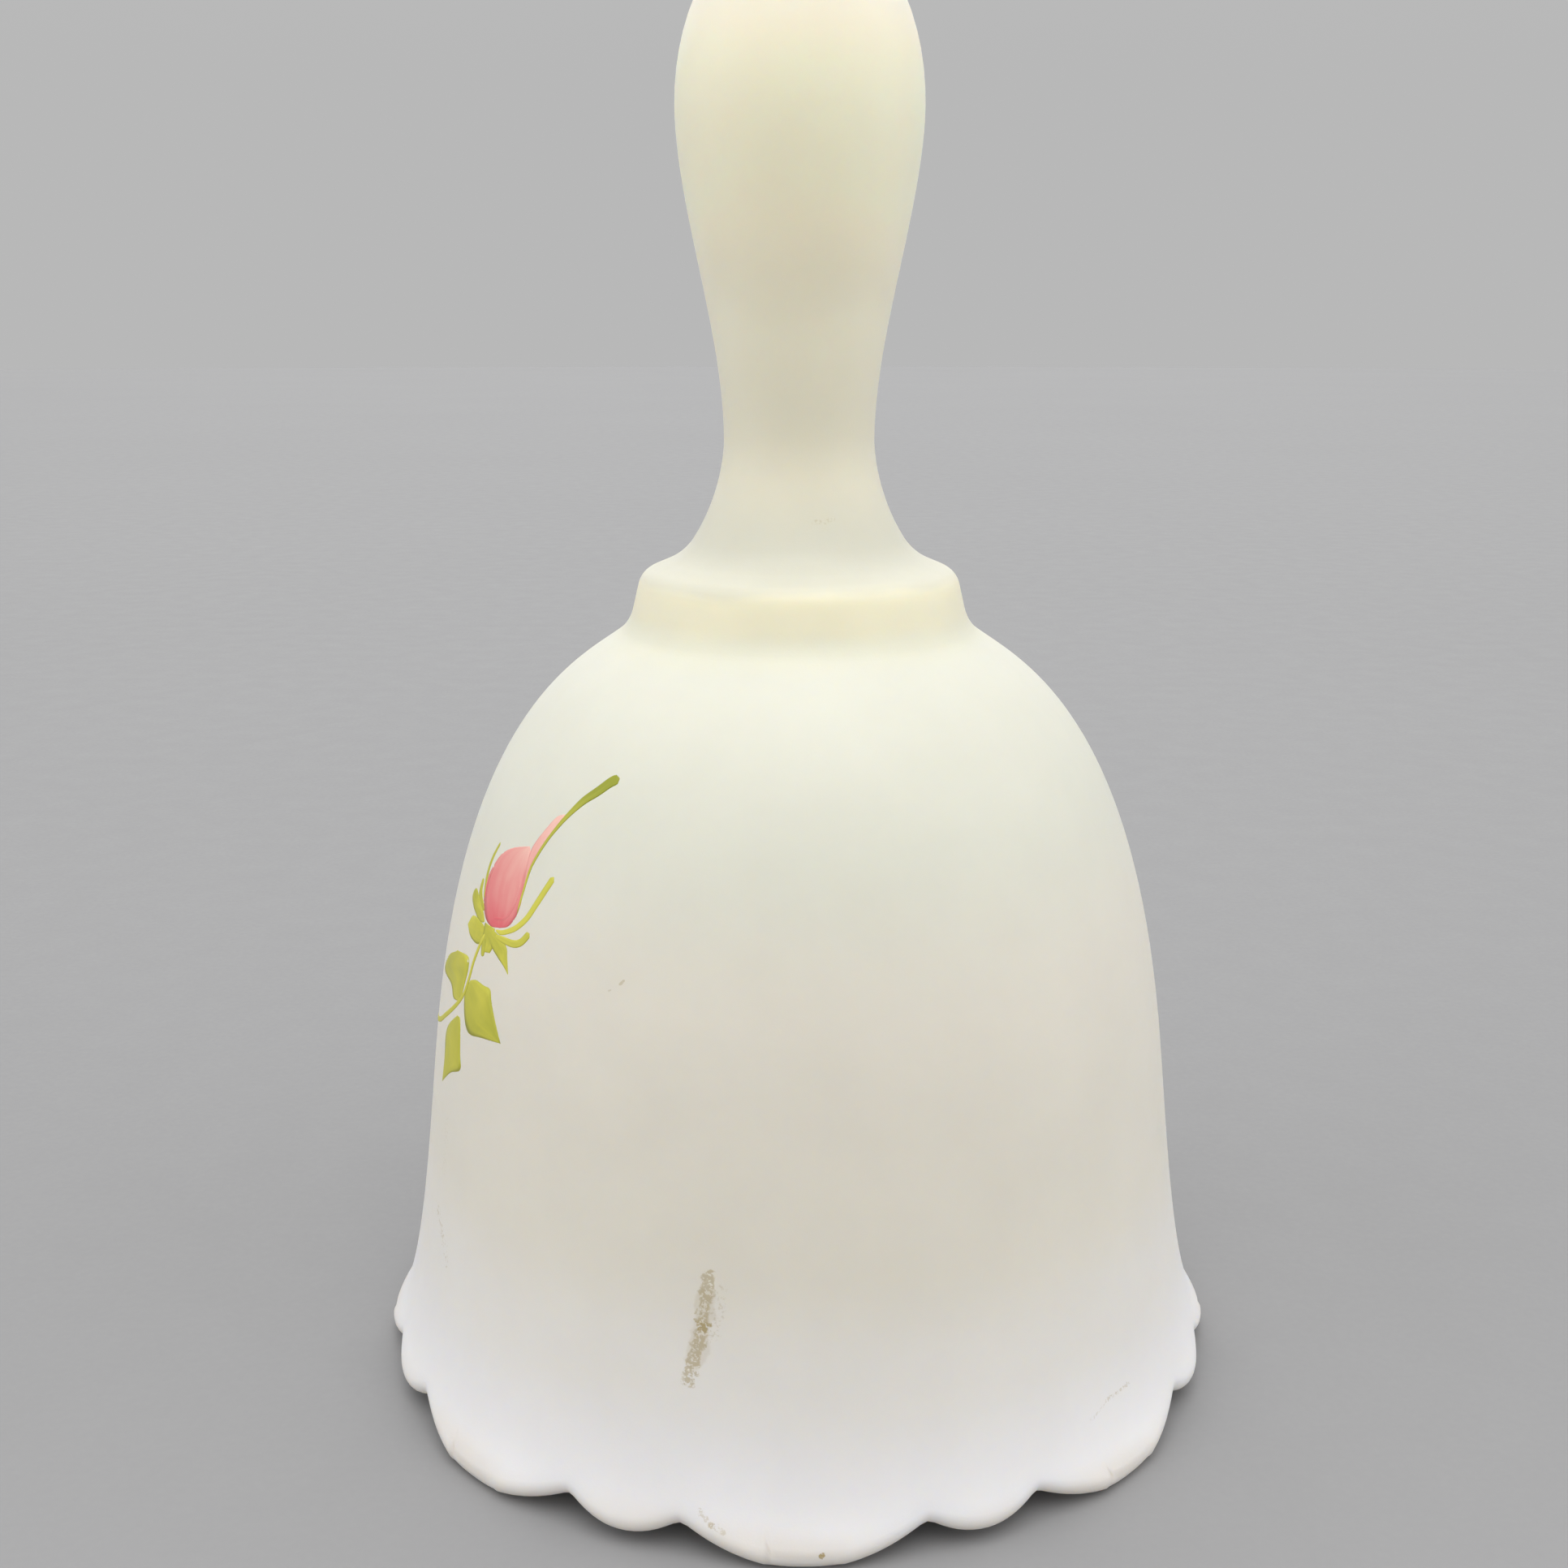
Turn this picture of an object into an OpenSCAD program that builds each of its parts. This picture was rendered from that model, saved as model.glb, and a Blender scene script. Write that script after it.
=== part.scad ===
// Pressed-glass hand bell: one satin glass casting with a scalloped rim, and a
// clapper that hangs inside it on a chain of wire links.
// Millimetres. The origin is the centre of the resting plane, +Z runs up the axis.

/* [Bell] */
// Height from the resting plane to the end of the handle
bell_h = 160.5; // [150:0.5:175]
// Diameter across the tips of the large lobes
rim_d = 99.8; // [96:0.2:104]
// Radius of the rounded outer edge of the rim
lip_r = 1.5; // [1.2:0.1:1.8]
// How far the skirt leans out where it meets the rim, in degrees
rim_flare = 39; // [30:1:45]
// Radius halfway up the skirt
skirt_r = 42.2; // [41:0.2:43]
// Height of the middle of the skirt
skirt_z = 41.7; // [38:0.1:45]
// Thickness of the glass in the skirt
wall = 3.4; // [3:0.1:4]

/* [Rim lobes] */
// Number of large lobes, with as many small ones between them
lobes = 8; // [8:4:12]
// Height of the notches between the lobes
notch_z = 3.2; // [2.6:0.1:3.6]
// Radius of the arc that bounds a large lobe
big_lobe_r = 27; // [24:0.5:30]
// Radius of the arc that bounds a small lobe
small_lobe_r = 14.4; // [13:0.2:16]
// Height of the lowest point of a small lobe
small_lobe_z = 1.9; // [1.4:0.1:2.2]
// How much is ground off each large lobe to give a flat foot
foot_flat = 0.15; // [0.1:0.05:0.3]

/* [Collar and handle] */
// Diameter of the collar at its foot
collar_d = 38; // [36:0.5:40]
// Height of the crease under the collar
collar_z = 86.8; // [85:0.1:88]
// Diameter of the step on top of the collar
step_d = 26; // [25:0.5:28]
// Diameter of the waist
waist_d = 16.6; // [15:0.2:18]
// Height of the waist
waist_z = 106.9; // [105:0.1:109]
// Diameter of the handle's bulge
bulge_d = 26.5; // [24:0.5:29]
// Height of the widest part of the bulge
bulge_z = 141.3; // [136:0.1:144]

/* [Clapper] */
// Thickness of the crown staple's wire
staple_wire = 1.6; // [1.2:0.1:1.8]
// Thickness of the hanger ring's wire
ring_wire = 1.2; // [1:0.1:1.4]
// Diameter of the hanger ring, from the middle of the wire
ring_d = 5.6; // [5.2:0.1:6]
// Thickness of the chain's wire
link_wire = 1; // [0.8:0.1:1.2]
// Length of a link, from the middle of the wire
link_l = 6; // [5.6:0.1:6.2]
// Width of a link, from the middle of the wire
link_w = 4; // [3.6:0.1:4.4]
// Thickness of the clapper pin's wire
pin_wire = 1.1; // [0.9:0.1:1.2]
// Diameter of the clapper bead
bead_d = 14; // [12:0.5:15]

/* [Hidden] */
$fn = 96;
links = 8;

// Play between the wires of two links that hang in one another
play = 0.1;

// Skirt: its lean halfway up, and how far the guides reach that steer its curves
skirt_lean = 7.5;
rim_guide = 7;
skirt_guide = 12.3;
shoulder_guide = 40;
crease_guide = [3, -4.1];
lip_c = rim_d / 2 - lip_r;

// Hollow: its crown, the inner edge of the rim, and the guides of its curves
crown_z = 80;
crown_guide = 24;
inner_shoulder_guide = 36;
inner_skirt_guide = 14;
inner_rim_guide = 6;
inner_drop = 1;
inner_lip_r = 0.9;
foot_w = 1.3;

// How far a cutting shape stands past what it cuts, and where the cut of the rim starts inside
over = 1;
rim_inside = 0.8;

// Collar and the foot of the handle
collar_h = 5;
collar_taper = 1.2;
collar_round = 0.9;
collar_round_turn = 75;
step_z = 94.4;
step_drop = 0.7;
step_w = 1;
foot_guide = 6.7;
waist_guide = 0.4;
grip_guide = 11.4;
bulge_guide = 10.1;

// Crown staple: the middle of its lowest wire, and the end of its legs in the glass
staple_w = 5;
staple_z = 71.8;
socket_z = 84;
socket_reach = 4;

// Chain: height of the middle of the wire at the top of each piece
ring_top = staple_z + staple_wire / 2 + ring_wire / 2 + play;
ring_low = ring_top - ring_d;
link_1_top = ring_low + ring_wire / 2 + link_wire / 2 + play;
pitch = link_l - link_wire - play;
function link_top(i) = link_1_top - (i - 1) * pitch;
last_low = link_top(links) - link_l;

// Clapper: the pin's eye hangs in the last link and the bead sits on the pin's head
eye_d = 3.4;
eye_top = last_low + link_wire / 2 + pin_wire / 2 + play;
eye_z = eye_top - eye_d / 2;
bead_flat = 0.25;
bead_gap = 0.3;
bead_top = eye_z - eye_d / 2 - pin_wire / 2 - bead_gap;
bead_z = bead_top - bead_d / 2 + bead_flat;
bead_low = bead_z - bead_d / 2 + bead_flat;
bore_play = 0.1;
head_d = 3.2;
head_h = 0.7;

// A point at distance l from p, in the direction a (degrees from +r towards +z)
function aim(p, a, l) = p + l * [cos(a), sin(a)];

// Points of a cubic curve from p[0] to p[3], steered by p[1] and p[2]
function curve(p, n) = [
    for (i = [0:n]) let (t = i / n, s = 1 - t)
        s * s * s * p[0] + 3 * s * s * t * p[1] + 3 * s * t * t * p[2] + t * t * t * p[3]
];

// Points of an arc about c, from angle a to angle b
function arc(c, r, a, b, n) = [for (i = [0:n]) aim(c, a + (b - a) * i / n, r)];

// Points of a quarter ellipse from its side to its top
function dome(z, rx, rz, n) = [
    for (i = [0:n]) [rx * cos(90 * i / n), z + rz * sin(90 * i / n)]
];

// Outer outline, from the foot of the rim up to the end of the handle
lip_end = aim([lip_c, lip_r], rim_flare, lip_r);
skirt_mid = [skirt_r, skirt_z];
collar_foot = [collar_d / 2, collar_z];
skirt_side = concat(
    arc([lip_c, lip_r], lip_r, -90, rim_flare, 8),
    curve([lip_end, aim(lip_end, 90 + rim_flare, rim_guide),
           aim(skirt_mid, skirt_lean - 90, skirt_guide), skirt_mid], 14),
    curve([skirt_mid, aim(skirt_mid, 90 + skirt_lean, shoulder_guide),
           collar_foot + crease_guide, collar_foot], 20)
);
collar_top = collar_foot + [-collar_taper, collar_h];
step_r = step_d / 2;
waist_r = waist_d / 2;
waist = [waist_r, waist_z];
bulge_r = bulge_d / 2;
bulge = [bulge_r, bulge_z];
handle_side = concat(
    arc(collar_top - [collar_round, 0], collar_round, 0, collar_round_turn, 4),
    [[step_r + step_w, step_z - step_drop]],
    curve([[step_r, step_z], waist - [0, foot_guide], waist - [0, waist_guide], waist], 10),
    curve([waist, waist + [0, grip_guide], bulge - [0, bulge_guide], bulge], 14),
    dome(bulge_z, bulge_r, bell_h - bulge_z, 14)
);

// Inner outline, from the crown of the hollow down to the rim
inner_lip = aim([lip_c - foot_w, inner_lip_r], 180 + rim_flare, inner_lip_r);
inner_mid = skirt_mid - [wall, inner_drop];
inner_side = concat(
    curve([[0, crown_z], [crown_guide, crown_z],
           aim(inner_mid, 90 + skirt_lean, inner_shoulder_guide), inner_mid], 18),
    curve([inner_mid, aim(inner_mid, skirt_lean - 90, inner_skirt_guide),
           aim(inner_lip, 90 + rim_flare, inner_rim_guide), inner_lip], 14),
    arc([lip_c - foot_w, inner_lip_r], inner_lip_r, 180 + rim_flare, 270, 4)
);

// Keeps each point that is away from the one before it
function distinct(p) = [
    for (i = [0:len(p) - 1]) if (i == 0 || norm(p[i] - p[max(i - 1, 0)]) > 0.001) p[i]
];

// Bar along the radius at angle a, which bounds one lobe of the rim
module lobe_bar(a, r, low) {
    rotate(a) translate([0, -rim_d / 4, low + r]) rotate([90, 0, 0])
        cylinder(h = rim_d / 2, r = r);
}

// Everything under the rim that lies outside the lobes
module notches() {
    step = 360 / lobes;
    difference() {
        translate([0, 0, -over]) cylinder(h = notch_z + 2 * over, d = rim_d + 2 * over);
        translate([0, 0, -2 * over]) cylinder(h = notch_z + 4 * over, d = rim_d * rim_inside);
        for (i = [0:lobes - 1]) {
            lobe_bar(i * step, big_lobe_r, -foot_flat);
            lobe_bar((i + 0.5) * step, small_lobe_r, small_lobe_z);
        }
    }
}

// Wire of diameter d bent into a ring of diameter w in the XZ plane, or into its upper part
module ring(w, d, turn = 360) {
    rotate([90, 0, 0]) rotate_extrude(angle = turn) translate([w / 2, 0]) circle(d = d);
}

// Oval link in the XZ plane, with the middle of its upper wire at z
module link(z) {
    side_l = link_l - link_w;
    translate([0, 0, z - link_w / 2 - side_l]) {
        translate([0, 0, side_l]) ring(link_w, link_wire, 180);
        mirror([0, 0, 1]) ring(link_w, link_wire, 180);
        for (x = [-1, 1] * link_w / 2) translate([x, 0, 0]) cylinder(h = side_l, d = link_wire);
    }
}

module glass_bell() {
    color([0.93, 0.91, 0.84]) difference() {
        rotate_extrude() polygon(distinct(concat(skirt_side, handle_side, inner_side)));
        notches();
        for (x = [-1, 1] * staple_w / 2) translate([x, 0, crown_z - socket_reach])
            cylinder(h = socket_z - crown_z + socket_reach, d = staple_wire + bore_play);
    }
}

module crown_staple() {
    bend_z = staple_z + staple_w / 2;
    color([0.75, 0.74, 0.7]) {
        translate([0, 0, bend_z]) mirror([0, 0, 1]) ring(staple_w, staple_wire, 180);
        for (x = [-1, 1] * staple_w / 2)
            translate([x, 0, bend_z]) cylinder(h = socket_z - bend_z, d = staple_wire);
    }
}

module hanger_ring() {
    color([0.75, 0.74, 0.7])
        translate([0, 0, ring_top - ring_d / 2]) rotate(90) ring(ring_d, ring_wire);
}

// Odd links lie in the XZ plane, even ones across it
module chain_link(i) {
    color([0.78, 0.77, 0.73]) rotate(i % 2 == 1 ? 0 : 90) link(link_top(i));
}

module clapper_pin() {
    color([0.75, 0.74, 0.7]) {
        translate([0, 0, eye_z]) ring(eye_d, pin_wire);
        translate([0, 0, bead_low]) cylinder(h = eye_z - eye_d / 2 - bead_low, d = pin_wire);
        translate([0, 0, bead_low - head_h]) cylinder(h = head_h, d = head_d);
    }
}

module clapper_bead() {
    color([0.86, 0.9, 0.9, 0.6]) difference() {
        intersection() {
            translate([0, 0, bead_z]) sphere(d = bead_d);
            translate([0, 0, bead_low]) cylinder(h = bead_top - bead_low, d = bead_d);
        }
        translate([0, 0, bead_low - over]) cylinder(h = bead_d + 2 * over, d = pin_wire + bore_play);
    }
}

glass_bell();
crown_staple();
hanger_ring();
for (i = [1:links]) chain_link(i);
clapper_pin();
clapper_bead();
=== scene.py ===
"""Satin glass hand bell with a painted rosebud spray and a bead clapper on a chain."""

import math
import random

import bmesh
import bpy
import numpy as np
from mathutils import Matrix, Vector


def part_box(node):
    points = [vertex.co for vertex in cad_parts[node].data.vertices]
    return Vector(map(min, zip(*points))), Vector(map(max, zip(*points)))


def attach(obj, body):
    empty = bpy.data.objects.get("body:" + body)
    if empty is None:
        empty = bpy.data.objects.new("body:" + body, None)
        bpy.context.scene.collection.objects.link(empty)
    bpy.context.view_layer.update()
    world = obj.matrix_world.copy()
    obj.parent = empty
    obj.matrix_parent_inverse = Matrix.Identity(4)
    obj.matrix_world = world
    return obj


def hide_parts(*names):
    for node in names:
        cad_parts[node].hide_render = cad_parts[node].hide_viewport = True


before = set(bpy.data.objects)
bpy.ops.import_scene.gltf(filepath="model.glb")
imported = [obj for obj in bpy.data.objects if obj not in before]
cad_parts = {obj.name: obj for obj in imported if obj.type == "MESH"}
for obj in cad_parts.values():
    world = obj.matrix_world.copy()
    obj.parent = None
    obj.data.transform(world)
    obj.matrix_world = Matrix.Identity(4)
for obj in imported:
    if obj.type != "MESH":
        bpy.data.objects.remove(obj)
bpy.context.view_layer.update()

bl_info = {
    "name": "Satin glass bell",
    "version": (1, 0, 0),
    "blender": (4, 5, 0),
    "location": "View3D > Sidebar > Bell",
    "description": "Builds the glass, the painted spray, the finishes and the stage of a hand bell",
    "category": "Object",
}

MM = 0.001
GLASS_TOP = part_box("glass_bell")[1].z / MM


# ---------------------------------------------------------------- properties


def length(name, text, millimetres):
    return bpy.props.FloatProperty(
        name=name,
        description=text,
        default=millimetres * MM,
        min=0.0,
        unit="LENGTH",
        subtype="DISTANCE",
        precision=5,
    )


def angle(name, text, degrees):
    return bpy.props.FloatProperty(
        name=name, description=text, default=math.radians(degrees), subtype="ANGLE"
    )


def colour(name, text, rgb):
    return bpy.props.FloatVectorProperty(
        name=name, description=text, default=rgb, size=3, min=0.0, max=1.0, subtype="COLOR"
    )


class BellSizes(bpy.types.PropertyGroup):
    """Outline of the glass, measured from the plane the rim stands on."""

    height: length("Height", "Resting plane to the end of the handle", GLASS_TOP)
    rim_r: length("Rim radius", "Radius over the tips of the large lobes", 49.9)
    lip_r: length("Lip rounding", "Radius of the outer edge of the rim", 1.5)
    inner_lip_r: length("Inner lip rounding", "Radius of the inner edge of the rim", 0.9)
    flare: angle("Flare", "How far the skirt leans out at the rim", 39)
    skirt_r: length("Skirt radius", "Radius halfway up the skirt", 42.2)
    skirt_z: length("Skirt height", "Height of the middle of the skirt", 41.7)
    lean: angle("Skirt lean", "Lean of the skirt at its middle", 7.5)
    wall: length("Wall", "Thickness of the glass in the skirt", 3.4)
    crown_z: length("Crown height", "Height of the hollow's crown", 80)
    collar_r: length("Collar radius", "Radius of the collar at its foot", 19)
    collar_z: length("Collar height", "Height of the crease under the collar", 86.8)
    collar_top_r: length("Collar top radius", "Radius of the collar's upper edge", 17.7)
    collar_top_z: length("Collar top height", "Height of the collar's upper edge", 92.2)
    step_r: length("Step radius", "Radius where the handle's foot meets the collar", 13)
    step_z: length("Step height", "Height where the handle's foot meets the collar", 94.2)
    waist_r: length("Waist radius", "Radius of the waist", 8.3)
    waist_z: length("Waist height", "Height of the waist", 106.9)
    bulge_r: length("Bulge radius", "Largest radius of the handle", 13.25)
    bulge_z: length("Bulge height", "Height of the widest part of the handle", 141.3)
    lobes: bpy.props.IntProperty(
        name="Lobes", description="Number of large lobes round the rim", default=8, min=4, max=12
    )
    big_lobe_r: length("Large lobe", "Radius of the arc of a large lobe", 28)
    small_lobe_r: length("Small lobe", "Radius of the arc of a small lobe", 11.8)
    small_lobe_z: length("Small lobe height", "Lowest point of a small lobe", 1.25)
    foot_flat: length("Foot flat", "Glass ground off each large lobe", 0.03)


class BellColours(bpy.types.PropertyGroup):
    """Colours of the glass, the enamel and the wire; a few glass colours hold painted light and
    shade.
    """

    # Painted light: the warm pinkish tint stands in for light shining through the thin edge.
    lip: colour("Lip", "Glass along the edge of the rim", (0.76, 0.71, 0.66))
    rim: colour("Rim", "Glass at the rim", (0.80, 0.785, 0.785))
    skirt: colour("Skirt", "Glass of the skirt", (0.76, 0.725, 0.64))
    shoulder: colour("Shoulder", "Glass of the shoulder", (0.71, 0.71, 0.62))
    # Painted shade: darker here, standing in for the shade at the sides of the ledge.
    ledge: colour("Ledge", "Glass of the ledge over the collar band", (0.665, 0.655, 0.55))
    # Painted light: lighter here to fill the shade in the crease under the collar.
    crease: colour("Crease", "Glass in the crease under the collar", (0.76, 0.75, 0.61))
    collar: colour("Collar", "Glass of the collar band", (0.83, 0.80, 0.62))
    waist: colour("Waist", "Glass of the waist of the handle", (0.79, 0.76, 0.62))
    grip: colour("Grip", "Glass of the narrow part of the handle", (0.88, 0.845, 0.69))
    # Painted light: lighter here to stand in for the extra light the handle catches.
    handle: colour("Handle", "Glass of the handle", (1.0, 0.93, 0.73))
    knob: colour("Knob", "Glass at the end of the handle", (0.845, 0.825, 0.75))
    dirt: colour("Dirt", "Grime rubbed into a scuff", (0.35, 0.255, 0.06))
    pink_deep: colour("Deep pink", "Enamel where the brush was full", (0.75, 0.13, 0.15))
    pink_light: colour("Light pink", "Enamel where the brush ran thin", (0.87, 0.54, 0.45))
    green_deep: colour("Deep green", "Enamel where the brush was full", (0.28, 0.305, 0.005))
    green_light: colour("Light green", "Enamel where the brush ran thin", (0.70, 0.65, 0.07))
    paint_body: length("Paint body", "Height of the enamel in the middle of a stroke", 0.03)
    wire: colour("Wire", "Nickel plate of the chain", (0.66, 0.63, 0.57))
    tarnish: colour("Tarnish", "Dulled plate in the hollows", (0.30, 0.26, 0.20))


class StageSettings(bpy.types.PropertyGroup):
    """Camera, floor and light."""

    distance: length("Camera distance", "Camera to the bell's axis", 200)
    height: length("Camera height", "Camera above the floor", 118.4)
    pitch: angle("Pitch", "How far the camera looks down", 14.29)
    azimuth: angle("Azimuth", "How far round the camera stands", -0.86)
    turn: angle("Turn", "How far the camera looks past the axis", 0.48)
    lens: bpy.props.FloatProperty(
        name="Lens", description="Focal length on a 36 mm frame", default=40.88, unit="CAMERA"
    )
    floor: colour("Floor", "Colour of the floor", (0.28, 0.28, 0.285))
    key: colour("Key light", "Colour of the light from above", (1.0, 0.99, 0.97))
    air: colour("Surroundings", "Colour of the soft light all round", (1.0, 1.0, 1.0))


# ---------------------------------------------------------------- outline


def aim(point, degrees, reach):
    """The point at that distance, in a direction turned from +r towards +z."""
    turn = math.radians(degrees)
    return np.array(point, float) + reach * np.array([math.cos(turn), math.sin(turn)])


def curve(points, steps):
    """Points of a cubic curve steered by its two middle points."""
    a, b, c, d = (np.array(p, float) for p in points)
    t = np.linspace(0, 1, steps + 1)[:, None]
    s = 1 - t
    return s**3 * a + 3 * s * s * t * b + 3 * s * t * t * c + t**3 * d


def eased(points, corner, reach, steps=8):
    """Rounds a corner of a run of points, from that far before it to as far after it."""
    points = np.asarray(points, float)
    run = np.append(0, np.cumsum(np.linalg.norm(np.diff(points, axis=0), axis=1)))
    at = run[np.argmin(np.linalg.norm(points - corner, axis=1))]
    ends = [[np.interp(at + way, run, points[:, k]) for k in (0, 1)] for way in (-reach, reach)]
    t = np.linspace(0, 1, steps + 1)[:, None]
    bend = (1 - t) ** 2 * ends[0] + 2 * t * (1 - t) * np.array(corner) + t**2 * ends[1]
    gap = 0.2 * reach
    return np.vstack([points[run < at - reach - gap], bend, points[run > at + reach + gap]])


class Outline:
    """Radius and height of the glass, in millimetres, outside and inside.

    The guides say how far the middle points of each curve stand from its ends.
    """

    SKIRT_GUIDES = (7, 12.3)  # from the rim up, and from the middle down
    SHOULDER_GUIDE = 40
    CREASE_GUIDE = (3, -4.1)
    INNER_SKIRT_GUIDES = (6, 14)
    INNER_SHOULDER_GUIDE = 36
    CROWN_GUIDE = (24, 0)
    GRIP_GUIDES = ((0, 10.1), (0, 11.4))  # under the bulge, and over the waist
    FOOT_GUIDES = ((0, 0.4), (0, 6.7))  # both under the waist
    LIP_GAP = 1.3  # between the middles of the outer and the inner rounding of the rim
    INNER_DROP = 1  # how much lower the middle of the hollow's wall is
    STEP_EASE, EDGE_EASE, CREASE_EASE = 2.0, 1.35, 1.5
    NOTCH_EASE = 0.35
    FOOT_EASE = 0.04
    WIDEST = 0.9  # how far out a lobe's arc is followed, as a share of its radius

    def __init__(self, sizes):
        lengths = [p.identifier for p in sizes.bl_rna.properties if p.unit == "LENGTH"]
        mm = {key: getattr(sizes, key) / MM for key in lengths}
        self.mm = mm
        self.lobes = sizes.lobes
        flare, lean = math.degrees(sizes.flare), math.degrees(sizes.lean)
        lip_c = mm["rim_r"] - mm["lip_r"]
        lip_end = aim((lip_c, mm["lip_r"]), flare, mm["lip_r"])
        middle = np.array([mm["skirt_r"], mm["skirt_z"]])
        crease = np.array([mm["collar_r"], mm["collar_z"]])
        skirt_low = aim(lip_end, 90 + flare, self.SKIRT_GUIDES[0])
        skirt_high = aim(middle, lean - 90, self.SKIRT_GUIDES[1])
        self.skirt = curve((lip_end, skirt_low, skirt_high, middle), steps=60)
        shoulder_low = aim(middle, 90 + lean, self.SHOULDER_GUIDE)
        shoulder = curve((middle, shoulder_low, crease + self.CREASE_GUIDE, crease), steps=40)
        self.above = self.from_handle(shoulder[::-1])
        self.outside = np.vstack([self.skirt, self.above[-2::-1]])
        inner_lip_c = (lip_c - self.LIP_GAP, mm["inner_lip_r"])
        inner_end = aim(inner_lip_c, 180 + flare, mm["inner_lip_r"])
        inner_low = aim(inner_end, 90 + flare, self.INNER_SKIRT_GUIDES[0])
        inner_middle = middle - (mm["wall"], self.INNER_DROP)
        inner_high = aim(inner_middle, lean - 90, self.INNER_SKIRT_GUIDES[1])
        self.inner_skirt = curve((inner_end, inner_low, inner_high, inner_middle), steps=60)
        crown = np.array([0, mm["crown_z"]])
        inner_shoulder = aim(inner_middle, 90 + lean, self.INNER_SHOULDER_GUIDE)
        crown_side = crown + self.CROWN_GUIDE
        self.inner_crown = curve((inner_middle, inner_shoulder, crown_side, crown), steps=30)

    def from_handle(self, shoulder):
        """From the end of the handle down to the middle of the skirt."""
        mm = self.mm
        waist = np.array([mm["waist_r"], mm["waist_z"]])
        bulge = np.array([mm["bulge_r"], mm["bulge_z"]])
        crease = np.array([mm["collar_r"], mm["collar_z"]])
        edge = np.array([mm["collar_top_r"], mm["collar_top_z"]])
        step = np.array([mm["step_r"], mm["step_z"]])
        t = np.linspace(0, math.pi / 2, 17)
        rise = mm["height"] - mm["bulge_z"]
        dome = np.stack([mm["bulge_r"] * np.sin(t), mm["bulge_z"] + rise * np.cos(t)], 1)
        under_bulge, over_waist = self.GRIP_GUIDES
        grip = curve((bulge, bulge - under_bulge, waist + over_waist, waist), steps=24)
        near_waist, over_step = self.FOOT_GUIDES
        foot = curve((waist, waist - near_waist, waist - over_step, step), steps=20)
        path = np.vstack([dome, grip[1:], foot[1:], [edge], shoulder])
        path = eased(path, step, self.STEP_EASE)
        path = eased(path, edge, self.EDGE_EASE)
        return eased(path, crease, self.CREASE_EASE)

    def outer_r(self, z):
        """Radius of the outer face at a height."""
        return np.interp(z, self.outside[:, 1], self.outside[:, 0])

    def inner_r(self, z):
        """Radius of the hollow's wall at a height of the skirt."""
        return np.interp(z, self.inner_skirt[:, 1], self.inner_skirt[:, 0])

    def rim_z(self, azimuth):
        """Height of the rim's edge, where large and small lobes take turns."""
        mm = self.mm
        period = 2 * math.pi / self.lobes
        from_big = (azimuth + period / 2) % period - period / 2
        from_small = azimuth % period - period / 2
        big = self.lobe(from_big, mm["big_lobe_r"], -mm["foot_flat"])
        small = self.lobe(from_small, mm["small_lobe_r"], mm["small_lobe_z"])
        soft = self.NOTCH_EASE
        both = -soft * np.log(np.exp(-big / soft) + np.exp(-small / soft))
        return 0.5 * (both + np.hypot(both, self.FOOT_EASE))

    def lobe(self, across, radius, low):
        """Height of the arc of one lobe, at angles from its middle."""
        widest = self.WIDEST * radius
        reach = np.clip(self.mm["rim_r"] * np.sin(across), -widest, widest)
        return low + radius - np.sqrt(radius**2 - reach**2)


def slope(radius_at, z):
    """Angle of a wall's face above level, where the radius shrinks with height."""
    step = 0.05
    return np.arctan((radius_at(z - step) - radius_at(z + step)) / (2 * step))


# ---------------------------------------------------------------- glass

AZIMUTHS = 384
SCALLOP_Z = 14.0  # above this the rings of the skirt are plain circles
SKIRT_RINGS, SCALLOP_RINGS = 14, 12
LIP_RINGS, INNER_LIP_RINGS = 8, 6
LIP_PASSES = 4  # each brings the height where the lip meets the wall nearer


def wall_rings(radius_at, top, low, steps):
    """Rings of a wall from one height to another, either of which may change with azimuth."""
    return [
        np.stack([radius_at(z), z], 1)
        for z in (top + (low - top) * i / steps for i in range(1, steps + 1))
    ]


def lip_rings(outline, rim):
    """Rings round the lip, and the heights where it meets the outer and the inner wall."""
    lip, inner_lip = outline.mm["lip_r"], outline.mm["inner_lip_r"]
    outer_z, inner_z = rim + 2 * lip, rim + inner_lip / 2
    for _ in range(LIP_PASSES):
        outer_z = rim + lip * (1 + np.sin(slope(outline.outer_r, outer_z)))
        inner_z = rim + inner_lip * (1 - np.sin(slope(outline.inner_r, inner_z)))
    lean_out, lean_in = slope(outline.outer_r, outer_z), slope(outline.inner_r, inner_z)
    outer_c = outline.outer_r(outer_z) - lip * np.cos(lean_out)
    inner_c = outline.inner_r(inner_z) + inner_lip * np.cos(lean_in)
    rings = []
    for t in np.linspace(0, 1, LIP_RINGS + 1)[1:]:
        turn = lean_out - (math.pi / 2 + lean_out) * t
        rings.append(np.stack([outer_c + lip * np.cos(turn), rim + lip * (1 + np.sin(turn))], 1))
    for t in np.linspace(0, 1, INNER_LIP_RINGS):
        turn = -math.pi / 2 - (math.pi / 2 - lean_in) * t
        across = inner_c + inner_lip * np.cos(turn)
        rings.append(np.stack([across, rim + inner_lip * (1 + np.sin(turn))], 1))
    return rings, outer_z, inner_z


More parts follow.
